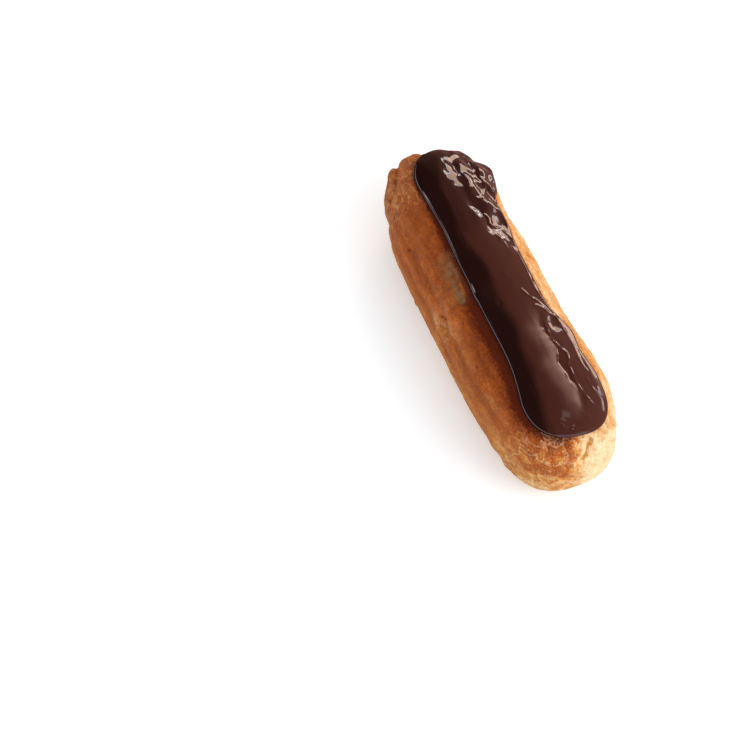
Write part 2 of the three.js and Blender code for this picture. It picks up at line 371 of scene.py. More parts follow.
def glaze_edge(side, t):
    """The glaze's edge on one side, and the middle that it faces, with t from 0 to 1 along it."""
    u = GLAZE_FAR + (GLAZE_NEAR - GLAZE_FAR) * t
    if side == "right":
        return np.stack([u, right_edge(u)], -1), np.stack([u, spine(u)], -1)
    if side == "left":
        u = GLAZE_FAR + GLAZE_NEAR - u
        return np.stack([u, left_edge(u)], -1), np.stack([u, spine(u)], -1)
    near, far = (1, GLAZE_NEAR, NEAR_REACH, NEAR_POWER), (-1, GLAZE_FAR, FAR_REACH, FAR_POWER)
    way, at, reach, power = near if side == "near" else far
    x, y = np.sin(math.pi * t), way * np.cos(math.pi * t)
    half = np.where(y > 0, right_edge(at) - spine(at), spine(at) - left_edge(at))
    r = ((np.abs(x) / reach) ** power + np.abs(y / half) ** power) ** (-1 / power)
    edge = np.stack([at + way * x * r, spine(at) + y * r], -1)
    return edge, np.broadcast_to([at, spine(at)], edge.shape)


def past_glaze(u, v):
    """How far a point of the unrolled top lies outside the glaze's edge, and less than nothing under it."""
    t = np.arange(EDGE_STEPS) / EDGE_STEPS
    edge = np.concatenate([glaze_edge(side, t)[0] for side in GLAZE_SIDES])
    away = np.full(u.shape, 1e9)
    for at_u, at_v in edge:
        away = np.minimum(away, (u - at_u) ** 2 + (v - at_v) ** 2)
    near, far = np.maximum(u - GLAZE_NEAR, 0) / NEAR_REACH, np.maximum(GLAZE_FAR - u, 0) / FAR_REACH
    over = np.where(u > 0, near, far)
    power = np.where(u > 0, NEAR_POWER, FAR_POWER)
    held = np.clip(u, GLAZE_FAR, GLAZE_NEAR)
    middle = spine(held)
    half = np.where(v > middle, right_edge(held) - middle, middle - left_edge(held))
    under = over ** power + np.abs((v - middle) / half) ** power < 1
    return np.where(under, -1, 1) * np.sqrt(away)


def glaze_rings(long_cells, end_cells, rim_cells, inset):
    """Rings of points, one inside the other, from the glaze's edge to its middle line, and the rise of each,
    from 0 at the edge to 1 past the round rim."""
    half = end_cells // 2
    rings = []
    for k in range(half + 1):
        rows = []
        for side in GLAZE_SIDES:
            count = (long_cells if side in ("right", "left") else end_cells) - 2 * k
            t = np.arange(max(count, 0)) / max(count, 1)
            edge, middle = glaze_edge(side, t)
            ahead, behind = glaze_edge(side, t + 1e-3)[0], glaze_edge(side, t - 1e-3)[0]
            way = ahead - behind
            way /= np.linalg.norm(way, axis=-1)[:, None]
            inward = np.stack([way[:, 1], -way[:, 0]], -1)
            rim = min(k / rim_cells, 1)
            start = edge + inward * inset * (1 - math.cos(math.pi / 2 * rim))
            share = max(k - rim_cells, 0) / (half - rim_cells)
            rows.append(start * (1 - share) + middle * share)
        rings.append((np.concatenate(rows), math.sin(math.pi / 2 * rim)))
    return rings


def grid_of_rings(long_cells, end_cells):
    """The ring of each point of a long_cells by end_cells grid, and its place in the ring."""
    i, j = np.indices((long_cells + 1, end_cells + 1))
    ring = np.minimum(np.minimum(i, long_cells - i), np.minimum(j, end_cells - j))
    long_left, end_left = long_cells - 2 * ring, end_cells - 2 * ring
    along, across = i - ring, j - ring
    place = np.where(across == 0, along, long_left + across)
    place = np.where((across == end_left) & (end_left > 0), 2 * long_left + end_left - along, place)
    back = (along == 0) & (across > 0)
    place = np.where(back, 2 * long_left + 2 * end_left - across, place)
    whole = 2 * (long_left + end_left)
    return ring, np.where(end_left > 0, place % np.maximum(whole, 1), along)


def smooth_line(points, step=0.3):
    """A smooth line through the points, as points that stand close together."""
    p = np.array(points, float)
    p = np.vstack([2 * p[0] - p[1], p, 2 * p[-1] - p[-2]])
    rows = []
    for a, b, c, d in zip(p, p[1:], p[2:], p[3:]):
        count = max(int(np.linalg.norm(c - b) / step), 2)
        t = (np.arange(count) / count)[:, None]
        bend = b + (c - a) * t / 2 + (2 * a - 5 * b + 4 * c - d) * t**2 / 2
        rows.append(bend + (3 * b - a - 3 * c + d) * t**3 / 2)
    return np.vstack(rows + [p[-2:-1]])


def line_at(points, u):
    """Where across a smooth line through the points is at u."""
    line = smooth_line(points)
    return np.interp(u, line[:, 0], line[:, 1])


def near_line(u, v, points):
    """How far each place is from a smooth line, and how far along it, from 0 to 1, its nearest point is."""
    line = smooth_line(points)
    away, along = np.full(u.shape, 1e9), np.zeros(u.shape)
    for k, (at_u, at_v) in enumerate(line):
        here = (u - at_u) ** 2 + (v - at_v) ** 2
        along = np.where(here < away, k / (len(line) - 1), along)
        away = np.minimum(away, here)
    return np.sqrt(away), along


def flow(u, v):
    """How the poured glaze stands above or below an even coat, in mm."""
    height = np.zeros(u.shape)
    for points, drop, fall, rise in TERRACES:
        before = line_at(points, u) + 0.12 * np.sin(u * 1.7) + 0.1 * np.sin(u * 0.93 + 1) - v
        fade = smooth((u - points[0][0]) / TERRACE_FADE) * smooth((points[-1][0] - u) / TERRACE_FADE)
        height -= drop * fade * np.where(before > 0, np.exp(-before / fall), np.exp(before / rise))
    for points, half, rise in THREADS:
        away, along = near_line(u, v, points)
        fade = smooth(along / THREAD_FADE) * smooth((1 - along) / THREAD_FADE)
        height += rise * fade * (1 + 0.3 * np.sin(u * 1.1 + v)) * bell(away, 0, half)
    for (at_u, at_v), along, across, rise in DABS:
        height += rise * np.exp(-(((u - at_u) / along) ** 2) - ((v - at_v) / across) ** 2)
    return height


def make_mesh(name, points, faces, attributes):
    """A piece from points in mm, with a value for each point under each attribute's name."""
    mesh = bpy.data.meshes.new(name)
    mesh.vertices.add(len(points))
    mesh.vertices.foreach_set("co", (points * MM).astype(np.float32).ravel())
    mesh.loops.add(faces.size)
    mesh.loops.foreach_set("vertex_index", faces.astype(np.int32).ravel())
    mesh.polygons.add(len(faces))
    mesh.polygons.foreach_set("loop_start", np.arange(0, faces.size, faces.shape[1], dtype=np.int32))
    mesh.update(calc_edges=True)
    for key, values in attributes.items():
        mesh.attributes.new(key, "FLOAT", "POINT").data.foreach_set("value", values.astype(np.float32))
    mesh.validate()
    piece = bpy.data.objects.new(name, mesh)
    bpy.context.scene.collection.objects.link(piece)
    return piece


def fill_inputs(tree, node, links):
    """Gives a node's inputs, by name or number, their values or the sockets to link from."""
    for key, value in links.items():
        if isinstance(value, bpy.types.NodeSocket):
            tree.links.new(value, node.inputs[key])
        else:
            node.inputs[key].default_value = value


def add_node(tree, kind, links=None, **settings):
    node = tree.nodes.new(kind)
    for key, value in settings.items():
        setattr(node, key, value)
    fill_inputs(tree, node, links or {})
    return node


def maths(tree, operation, *values):
    return add_node(tree, "ShaderNodeMath", dict(enumerate(values)), operation=operation).outputs[0]


def times(tree, first, second):
    return maths(tree, "MULTIPLY", first, second)


def added(tree, first, *others):
    for other in others:
        first = maths(tree, "ADD", first, other)
    return first


def centred(tree, value, gain):
    """A noise as a value on both sides of 0."""
    return times(tree, maths(tree, "SUBTRACT", value, 0.5), gain)


def band(tree, value, low, high, out_low=0.0, out_high=1.0):
    """A value from low to high, turned smoothly into one from out_low to out_high."""
    links = {"Value": value, "From Min": low, "From Max": high, "To Min": out_low, "To Max": out_high}
    return add_node(tree, "ShaderNodeMapRange", links, interpolation_type="SMOOTHSTEP").outputs[0]


def ridged(tree, value, width):
    """1 along the middle line of a noise, falling to 0 at width away from it."""
    return band(tree, maths(tree, "ABSOLUTE", centred(tree, value, 1.0)), 0.0, width, 1.0, 0.0)


def between(tree, share, first, second):
    return added(tree, first, times(tree, maths(tree, "SUBTRACT", second, first), share))


def patch(tree, share, rag):
    """A share from 0 to 1 with its edge made ragged by rag."""
    ragged = added(tree, share, centred(tree, rag, 3.0))
    return times(tree, band(tree, share, 0.05, 0.3), band(tree, ragged, 0.3, 0.8))


def mix(tree, share, first, second):
    return add_node(tree, "ShaderNodeMix", {0: share, 6: first, 7: second}, data_type="RGBA").outputs[2]


def drawn_out(tree, where, share):
    """Places for a pattern that is drawn out along the bun, the more so the smaller the share."""
    links = {0: where, 1: (share, 1, 1)}
    return add_node(tree, "ShaderNodeVectorMath", links, operation="MULTIPLY").outputs[0]


def noise(tree, where, size, detail=3.0, rough=0.5, bend=0.0, seed=0.0):
    """Noise whose cells are size metres across."""
    links = {"Vector": where, "W": seed, "Detail": detail, "Roughness": rough, "Distortion": bend}
    links["Scale"] = maths(tree, "DIVIDE", 1.0, size) if isinstance(size, bpy.types.NodeSocket) else 1 / size
    return add_node(tree, "ShaderNodeTexNoise", links, noise_dimensions="4D").outputs[0]


def cells(tree, where, size):
    """The distance to the nearest of many points that stand about size metres apart."""
    return add_node(tree, "ShaderNodeTexVoronoi", {"Vector": where, "Scale": 1 / size}).outputs["Distance"]


def bump(tree, height, strength, distance):
    links = {"Height": height, "Strength": strength, "Distance": distance}
    return add_node(tree, "ShaderNodeBump", links).outputs[0]


def attribute(tree, name):
    return add_node(tree, "ShaderNodeAttribute", attribute_name=name).outputs["Fac"]


def new_material(name):
    material = bpy.data.materials.new(name)
    material.use_nodes = True
    return material, material.node_tree, material.node_tree.nodes["Principled BSDF"]


def rgba(colour):
    return (*colour, 1.0)


def ramp(tree, value, stops):
    node = add_node(tree, "ShaderNodeValToRGB", {0: value})
    marks = node.color_ramp.elements
    while len(marks) < len(stops):
        marks.new(0.5)
    for mark, (at, colour) in zip(marks, stops):
        mark.position = at
        mark.color = rgba(colour)
    return node.outputs[0]


# The cells of the crust's patterns, in metres. Of two, the second is for the wrinkled ends.
BROAD_PATCHES = (0.008, 0.0052)
MOTTLES = (0.0026, 0.002)
GRAIN, STREAKS, FINE_LINES, PORES = 0.0008, 0.0015, 0.0019, 0.0012

# How far baked each of the crust's colours is.
BAKED_AT = (0.0, 0.12, 0.37, 0.66, 1.0)


def baked_crust(looks):
    """Baked choux: pale gold to dark brown by how far it has browned and by painted shade and light, patchy
    and finely speckled, with fine pale lines on its wrinkles, a dusty bloom, dark pores with painted shade,
    painted shade in the fold creases and pits, and a dry grain."""
    material, tree, surface = new_material("baked_choux")
    where = add_node(tree, "ShaderNodeTexCoord").outputs["Object"]
    drawn = drawn_out(tree, where, 0.45)
    # The browning attribute also holds painted shade on the left side and by the glaze, and painted light on
    # the right side and the near end.
    skin, browned_and_painted_shading = attribute(tree, "wrinkled"), attribute(tree, "browned_and_painted_shading")

    def by_skin(low, high):
        return band(tree, skin, 0.0, 1.0, low, high)

    broad_ends = noise(tree, where, BROAD_PATCHES[1], 2, 0.45, 0.9, 1.0)
    broad = between(tree, skin, noise(tree, drawn, BROAD_PATCHES[0], 2, 0.5, 0.6, 1.0), broad_ends)
    mottle_ends = noise(tree, where, MOTTLES[1], 3, 0.5, 1.0, 2.0)
    mottle = between(tree, skin, noise(tree, drawn, MOTTLES[0], 2, 0.5, 0.7, 2.0), mottle_ends)
    grain = noise(tree, where, GRAIN, 3, 0.6, 0.3, 4.0)
    streaks = noise(tree, drawn_out(tree, where, 0.3), STREAKS, 3, 0.5, 0.3, 5.0)
    wrinkles = noise(tree, drawn, looks.wrinkle_size, 4, 0.55, 0.0, looks.seed)
    net = times(tree, ridged(tree, wrinkles, 0.05), band(tree, mottle, 0.35, 0.6, 0.2, 1.0))
    fine = ridged(tree, noise(tree, where, FINE_LINES, 2, 0.5, 1.2, 7.0), 0.045)
    line = maths(tree, "MAXIMUM", net, times(tree, fine, band(tree, broad, 0.4, 0.6, 0.2, 0.7)))

    uneven = added(
        tree,
        times(tree, centred(tree, broad, 1.0), by_skin(0.5, 1.3)),
        centred(tree, mottle, 0.52),
        centred(tree, grain, 0.75),
        centred(tree, streaks, 0.4),
    )
    uneven = times(tree, uneven, band(tree, browned_and_painted_shading, 0.6, 1.1, 1.0, 0.4))
    lighter = times(tree, line, by_skin(-0.08, -0.2))
    limit = added(tree, maths(tree, "MAXIMUM", browned_and_painted_shading, 0.64), 0.06)
    bake = maths(tree, "MINIMUM", added(tree, browned_and_painted_shading, uneven, lighter), limit)
    colours = (looks.cream, looks.pale, looks.golden, looks.brown, looks.dark)
    colour = ramp(tree, bake, list(zip(BAKED_AT, colours)))

    dusty = times(tree, attribute(tree, "dusty"), band(tree, browned_and_painted_shading, 0.6, 0.95, 1.0, 0.0))
    bloom = times(tree, band(tree, added(tree, grain, centred(tree, mottle, 0.8)), 0.35, 0.7), dusty)
    dry = maths(tree, "MAXIMUM", times(tree, line, by_skin(0.0, 0.3)), bloom)
    # Painted shade in the pores: the small dents that the bump lowers are also painted dark.
    pore = band(tree, cells(tree, where, PORES), 0.1, 0.26, 1.0, 0.0)
    pore = times(tree, pore, band(tree, mottle, 0.5, 0.6))
    rough_scar = band(tree, added(tree, grain, centred(tree, mottle, 1.5)), 0.3, 0.7, 0.2, 0.85)
    for share, paint in (
        (dry, looks.wrinkle),
        (times(tree, pore, by_skin(0.4, 0.1)), looks.dark),
        (times(tree, attribute(tree, "scar"), rough_scar), looks.scar),
        (times(tree, patch(tree, attribute(tree, "lip"), grain), 0.75), looks.wrinkle),
        (patch(tree, attribute(tree, "split"), grain), looks.crumb),
        # Painted shade in the fold creases and the pits.
        (attribute(tree, "crease"), looks.dark),
    ):
        colour = mix(tree, share, colour, rgba(paint))

    dull = band(tree, added(tree, grain, centred(tree, mottle, 0.5)), 0.3, 0.7, 0.55, 0.8)
    height = added(
        tree,
        centred(tree, grain, 1.6),
        centred(tree, streaks, 0.4),
        centred(tree, mottle, 1.2),
        times(tree, pore, -0.5),
        times(tree, line, by_skin(0.2, 0.7)),
    )
    finish = {"Base Color": colour, "Roughness": dull, "Specular IOR Level": 0.07}
    finish["Normal"] = bump(tree, height, 0.8, 0.0006)
    fill_inputs(tree, surface, finish)
    return material


# The cells of the glaze's patterns, in metres.
FLOW_MARKS, FILM, GLAZE_GRAIN = 0.0022, 0.0025, 0.0011


def chocolate(looks):
    """Set chocolate glaze: nearly black where thick and where painted shade darkens the left side and far
    end, brown where thin, a paler painted sheen on the dull film, wet gloss and faint flow marks.
    """
    material, tree, surface = new_material("chocolate_glaze")
    where = add_node(tree, "ShaderNodeTexCoord").outputs["Object"]
    dull = attribute(tree, "dull")
    marks = noise(tree, drawn_out(tree, where, 0.12), FLOW_MARKS, 3, 0.55, 0.3, 1.0)
    # Painted shade, partly: 'thick' is high on the left side and at the far end, and darkens the glaze there
    # as well as where it is thick.
    thick = added(tree, attribute(tree, "thick"), centred(tree, marks, 0.9))
    colour = mix(tree, band(tree, thick, 0.0, 1.0), rgba(looks.glaze), rgba(looks.glaze_thick_and_shade))
    # Painted sheen: over the dull film the colour turns paler, standing in for a soft reflection.
    painted_sheen = times(tree, maths(tree, "POWER", dull, 1.5), band(tree, marks, 0.35, 0.65, 0.4, 0.9))
    colour = mix(tree, painted_sheen, colour, rgba(looks.glaze_painted_sheen))
    film = band(tree, noise(tree, where, FILM, 4, 0.6, 0.0, 2.0), 0.35, 0.75, 0.05, 0.12)
    satin = times(tree, dull, band(tree, marks, 0.3, 0.7, 0.26, 0.36))
    finish = {"Base Color": colour, "Roughness": added(tree, film, satin), "IOR": 1.5}
    finish["Normal"] = bump(tree, noise(tree, where, GLAZE_GRAIN, 2, 0.5, 0.0, 3.0), 0.04, 0.0001)
    fill_inputs(tree, surface, finish)
    return material


def stored(tree, name):
    return add_node(tree, "GeometryNodeInputNamedAttribute", {"Name": name}, data_type="FLOAT").outputs[0]


def relief_tree(name, keys, build):
    """A tree that moves a surface along its normals by build's height, times its own relief value."""
    tree = bpy.data.node_groups.new(name, "GeometryNodeTree")
    face = tree.interface
    face.new_socket("Geometry", in_out="INPUT", socket_type="NodeSocketGeometry")
    face.new_socket("Geometry", in_out="OUTPUT", socket_type="NodeSocketGeometry")
    for key in keys:
        face.new_socket(key, in_out="INPUT", socket_type="NodeSocketFloat")
    face.new_socket("Material", in_out="INPUT", socket_type="NodeSocketMaterial")
    given = tree.nodes.new("NodeGroupInput").outputs
    where = tree.nodes.new("GeometryNodeInputPosition").outputs[0]
    normal = tree.nodes.new("GeometryNodeInputNormal").outputs[0]
    height = times(tree, build(tree, where, given), stored(tree, "relief"))
    offset = add_node(tree, "ShaderNodeVectorMath", {0: normal, "Scale": height}, operation="SCALE")
    links = {"Geometry": given["Geometry"], "Offset": offset.outputs[0]}
    moved = add_node(tree, "GeometryNodeSetPosition", links)
    real = add_node(tree, "GeometryNodeRealizeInstances", {"Geometry": moved.outputs[0]})
    links = {"Geometry": real.outputs[0], "Material": given["Material"]}
    done = add_node(tree, "GeometryNodeSetMaterial", links)
    add_node(tree, "NodeGroupOutput", {0: done.outputs[0]})
    return tree


def sized_noise(tree, where, size, detail, rough, seed):
    return maths(tree, "SUBTRACT", noise(tree, where, size, detail, rough, 0.0, seed), 0.5)


def crust_height(tree, where, given):
    """Bubbles under the skin, and wrinkles drawn out along the bun."""
    share = band(tree, sized_noise(tree, where, given["bubble_size"], 2.0, 0.5, given["seed"]), -0.05, 0.2)
    links = {"Vector": where, "Scale": maths(tree, "DIVIDE", 1.0, given["bubble_size"]), "Smoothness": 0.35}
    away = add_node(tree, "ShaderNodeTexVoronoi", links, feature="SMOOTH_F1").outputs["Distance"]
    bubble = times(tree, band(tree, away, 0.1, 0.7, 1.0, 0.0), share)
    drawn = drawn_out(tree, where, 0.45)
    wrinkle = sized_noise(tree, drawn, given["wrinkle_size"], 4.0, 0.55, given["seed"])
    wrinkle = times(tree, maths(tree, "ABSOLUTE", wrinkle), given["wrinkle_height"])
    return added(tree, times(tree, bubble, given["bubble_height"]), wrinkle)


def glaze_height(tree, where, given):
    """Slow swells that run along the glaze, and ripples where it set unevenly."""
    swell = sized_noise(tree, drawn_out(tree, where, 0.3), given["swell_size"], 1.0, 0.4, given["seed"])
    ripple = sized_noise(tree, drawn_out(tree, where, 0.6), given["ripple_size"], 0.0, 0.4, given["seed"])
    ripple = times(tree, ripple, stored(tree, "rippled"))
    swell = times(tree, swell, given["swell_height"])
    return added(tree, swell, times(tree, ripple, given["ripple_height"]))


def apply_relief(piece, name, build, looks, keys, material):
    """Runs a relief tree on the piece once with the settings that keys names, and leaves a plain mesh."""
    tree = relief_tree(name, keys, build)
    values = {key: float(getattr(looks, key)) for key in keys}
    values["Material"] = material
    modifier = piece.modifiers.new(tree.name, "NODES")
    modifier.node_group = tree
    for item in tree.interface.items_tree:
        if item.in_out == "INPUT" and item.name in values:
            modifier[item.identifier] = values[item.name]
    evaluated = piece.evaluated_get(bpy.context.evaluated_depsgraph_get())
    mesh = bpy.data.meshes.new_from_object(evaluated)
    piece.modifiers.remove(modifier)
    old, piece.data = piece.data, mesh
    bpy.data.meshes.remove(old)
    mesh.polygons.foreach_set("use_smooth", np.ones(len(mesh.polygons), bool))


def number_property(name, description, default, **kind):
    return FloatProperty(name=name, description=description, default=default, **kind)


def length_property(name, description, default):
    return number_property(name, description, default, unit="LENGTH")


def angle_property(name, description, default):
    return number_property(name, description, default, subtype="ANGLE")


def colour_property(name, description, default):
    return FloatVectorProperty(name=name, description=description, default=default, subtype="COLOR", size=3)


class EclairBun(bpy.types.PropertyGroup):
    """Sizes and colours of the choux bun."""

    length: length_property("Length", "Bun from tip to tip", 0.1347)
    half_left: length_property("Left half width", "From the axis to the left", 0.0212)
    half_right: length_property("Right half width", "From the axis to the right", 0.0197)
    height: length_property("Height", "Bun without its glaze", 0.0332)
    axis_height: length_property("Axis height", "Height of the widest line", 0.0152)
    end_rounding: length_property("End rounding", "How long each end rounds off", 0.0264)
    bubble_size: length_property("Bubble size", "Distance between bubbles", 0.0032)
    bubble_height: length_property("Bubble height", "How high bubbles stand", 0.00022)
    wrinkle_size: length_property("Wrinkle size", "Distance between wrinkles", 0.0042)
    wrinkle_height: length_property("Wrinkle height", "How deep wrinkles are", -0.0016)
    seed: IntProperty(name="Seed", description="Another crust for each number", default=4)
    cream: colour_property("Cream", "Hardly baked", (0.86, 0.64, 0.38))
    pale: colour_property("Pale", "Least baked", (0.79, 0.51, 0.27))
    golden: colour_property("Golden", "Golden crust", (0.63, 0.27, 0.066))
    brown: colour_property("Brown", "Well baked", (0.41, 0.093, 0.0135))
    dark: colour_property("Dark", "Darkest spots", (0.1, 0.0132, 0.002))
    wrinkle: colour_property("Wrinkles", "Dry raised skin", (0.88, 0.66, 0.4))
    crumb: colour_property("Crumb", "Inside of the split", (0.6, 0.26, 0.045))
    scar: colour_property("Scar", "Dull dented skin", (0.27, 0.15, 0.065))


class EclairGlaze(bpy.types.PropertyGroup):
    """Sizes and colours of the chocolate glaze."""

    thickness: length_property("Thickness", "Glaze thickness", 0.0015)
    gap: length_property("Gap", "Height above the crust of the solid's underside", 0.0003)
    swell_size: length_property("Swell size", "Length of slow swells", 0.005)
    swell_height: length_property("Swell height", "Height of slow swells", 0.0002)
    ripple_size: length_property("Ripple size", "Length of ripples", 0.005)
    ripple_height: length_property("Ripple height", "Height of ripples", 0.003)
    seed: IntProperty(name="Seed", description="Other ripples for each number", default=2)
    glaze: colour_property("Glaze", "Chocolate where it is thin", (0.052, 0.0145, 0.0108))
    # Painted sheen: the paler colour over the glaze's dull film.
    glaze_painted_sheen: colour_property("Dull glaze", "Chocolate where it set dull", (0.18, 0.088, 0.07))
    # Also painted shade: this darker chocolate covers the left side and the far end of the glaze.
    glaze_thick_and_shade: colour_property("Thick glaze", "Chocolate where it is thick", (0.014, 0.0042, 0.0036))


class EclairStage(bpy.types.PropertyGroup):
    """The camera, the lights and the floor."""

    azimuth: angle_property("Azimuth", "Way round to the camera", math.radians(68.8))
    elevation: angle_property("Elevation", "Camera above the floor", math.radians(55))
    distance: length_property("Distance", "Camera to its target", 0.72)
    target: FloatVectorProperty(
        name="Target",
        description="What the camera aims at",
        default=(-0.00186, -0.0416, 0),
        subtype="TRANSLATION",
        unit="LENGTH",
        size=3,
    )
    lens: number_property("Lens", "Focal length in mm for a 36 mm frame", 105.46, unit="CAMERA")
    floor_colour: colour_property("Floor", "Pale floor", (0.74, 0.78, 0.82))
    key_power: number_property("Key power", "Main soft light, in watts", 8.5, unit="POWER")
    window_light: number_property("Window light", "Brightness of the windows", 8.0)
    ambient: number_property("Ambient", "Even light from all round", 0.68)
    glow: number_property("Glow", "More light from the near end", 0.95)
    mirrored: number_property("Mirrored room", "Room's brightness in the gloss", 0.56)


class ECLAIR_OT_bun(bpy.types.Operator):
    """Build the baked choux bun with its folds, blisters and split"""

    bl_idname = "eclair.bun"
    bl_label = "Choux bun"

    def execute(self, context):
        looks = context.scene.eclair_bun
        bun = Bun(looks)
        grid, faces = cube_grid(*BUN_CELLS)
        x = grid[:, 0] * bun.length / 2
        along = np.clip(x, -bun.straight, bun.straight)
        out = np.stack([x - along, grid[:, 1] * (bun.left + bun.right) / 2, grid[:, 2] * bun.height / 2], -1)
        out /= np.linalg.norm(out, axis=1)[:, None]
        points = bun.point(along, out, bun.crust(along, out))
        points[:, 2] = np.maximum(points[:, 2], 0)
        piece = make_mesh("crust", points, faces, self.values(bun, along, out, points))
        keys = ("bubble_size", "bubble_height", "wrinkle_size", "wrinkle_height", "seed")
        apply_relief(piece, "Crust relief", crust_height, looks, keys, baked_crust(looks))
        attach(piece, "root")
        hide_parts("choux_crust")
        return {"FINISHED"}

    def values(self, bun, along, out, points):
        """What the material and the relief ask of each point."""
        u, v = bun.unrolled(along, out)
        edge = past_glaze(u, v)
        return {
            "relief": smooth(points[:, 2] / 2.5) * smooth(edge / 1.5 + 1.2),
            "browned_and_painted_shading": self.browned_and_painted_shading(bun, u, v, points, edge),
            "split": self.split(u, v),
            "lip": self.lip(u, v),
            "scar": self.scar(u, v),
            "wrinkled": smooth((u - 44) / 18) + 0.7 * smooth((-34 - u) / 14),
            "dusty": self.dusty(u, v),
            "crease": self.crease(u, v, bun.point(along, out, bun.plain(along, out))),
        }

    def browned_and_painted_shading(self, bun, u, v, points, edge):
        """How dark each place is coloured, from 0 to 1: partly how far it has browned and partly painted
        shade and light. It is darkest beside the glaze on the shaded left side, paler low down, on the lit
        right side and at the near end, and least on raised skin."""
        height = smooth((points[:, 2] - 3) / 22)
        shaded = smooth((4 - v) / 8)
        # Beside the glaze: a wide band, stronger on the shaded left side, partly browning and partly painted
        # shade; a narrow one on the left, a painted contact shadow at the glaze's edge; and a fainter one on
        # the near right.
        past = np.maximum(edge, 0)
        wide_band = np.exp(-past / 3.0) * (0.12 + 0.88 * shaded * smooth((u + 42) / 40))
        by_glaze = wide_band + 0.4 * np.exp(-past / 0.8) * shaded
        sunny = 0.22 * np.exp(-past / 2.5) * (1 - shaded) * smooth((u - 15) / 15)
        # Raised skin: round the dented patch and the blister, beside the streak and on the piped ridges.
        rim = bell(distance_to(u, v, *CRATER_RIM), 0, 0.8) * smooth((u + 18) / 7) * smooth((3 - u) / 7)
        blister = bell(distance_to(u, v, *MARKS["blister"][:2]), 0, 4)
        lip = bell(distance_to(u, v, *STREAK_LIP) + 0.5 * np.sin(u), 0, 1.5)
        ridge = bun.ridge_relief(u, v) / RIDGE_RISE
        pale = 0.35 * rim + 0.1 * blister + 0.06 * lip + 0.04 * ridge
        # The bun as a whole, with painted shade and light over the browning: darker higher up on the shaded
        # left side, paler on the lit right side and over the near end, most on its right. Also a little
        # darker low on the left side, paler low at the near left and paler at the near tip.
        near_end = smooth((u - 34) / 34)
        right = smooth((v + 4) / 8)
        base = 0.42 + 0.26 * height * shaded - 0.18 * (1 - shaded) - (0.06 + 0.26 * right) * near_end
        low_side = 0.06 * bell(u, -22, 32) * smooth((-19 - v) / 4)
        base += low_side - 0.07 * bell(u, 50, 13) * smooth((-14 - v) / 5)
        base -= 0.14 * smooth((u - 62) / 8)
        return 0.1 + 0.9 * (base + sunny + 0.9 * by_glaze * (1 - 0.55 * near_end) - pale)

    def dusty(self, u, v):
        """Where the skin has a dull bloom: low on the left side, round the blister and at the far end."""
        blister = bell(distance_to(u, v, *BLISTER_BLOOM) + 0.5 * np.sin(1.3 * u + 2 * v), 0, 3.4)
        low = smooth((-14 - v) / 9)
        far_end = smooth((-40 - u) / 14) * smooth((2 - v) / 8)
        return np.minimum(0.04 + 0.08 * low + 0.16 * far_end + 0.42 * blister, 0.6)

    def split(self, u, v):
        """Bare crumb inside the split."""
        return bell(distance_to(u, v, *MARKS["split"][:2]) + 0.25 * np.sin(2.6 * u), 0, 0.4)

    def lip(self, u, v):
        """Pale torn skin beside the split."""
        away = distance_to(u, v, *MARKS["split"][:2]) + 0.3 * np.sin(1.9 * u + 1)
        return bell(away, 1.1, 0.6) * smooth((67 - u) / 4)

    def scar(self, u, v):
        """Darker, greyer colour in the dented patch and along the streak."""
        crater, streak = (distance_to(u, v, *MARKS[key][:2]) for key in ("crater", "streak"))
        return bell(crater, 0, 2.3) + 0.6 * bell(streak, 0, 0.8)

    def crease(self, u, v, plain):
        """Painted shade: dark lines along the creases round the folds that are over 1 mm deep, and dark
        spots at the pits.
        """
        dark = 0.0
        for at, size, power, _, depth, width in FOLDS:
            away = past_fold(plain, at, size, power) * size[1]
            dark = dark + 0.5 * (depth > 1) * crease_fade(plain) * bell(away, 0, 0.7 * width)
        return dark + sum(0.9 * bell(np.hypot(u - at_u, v - at_v), 0, r) for at_u, at_v, r in PITS)


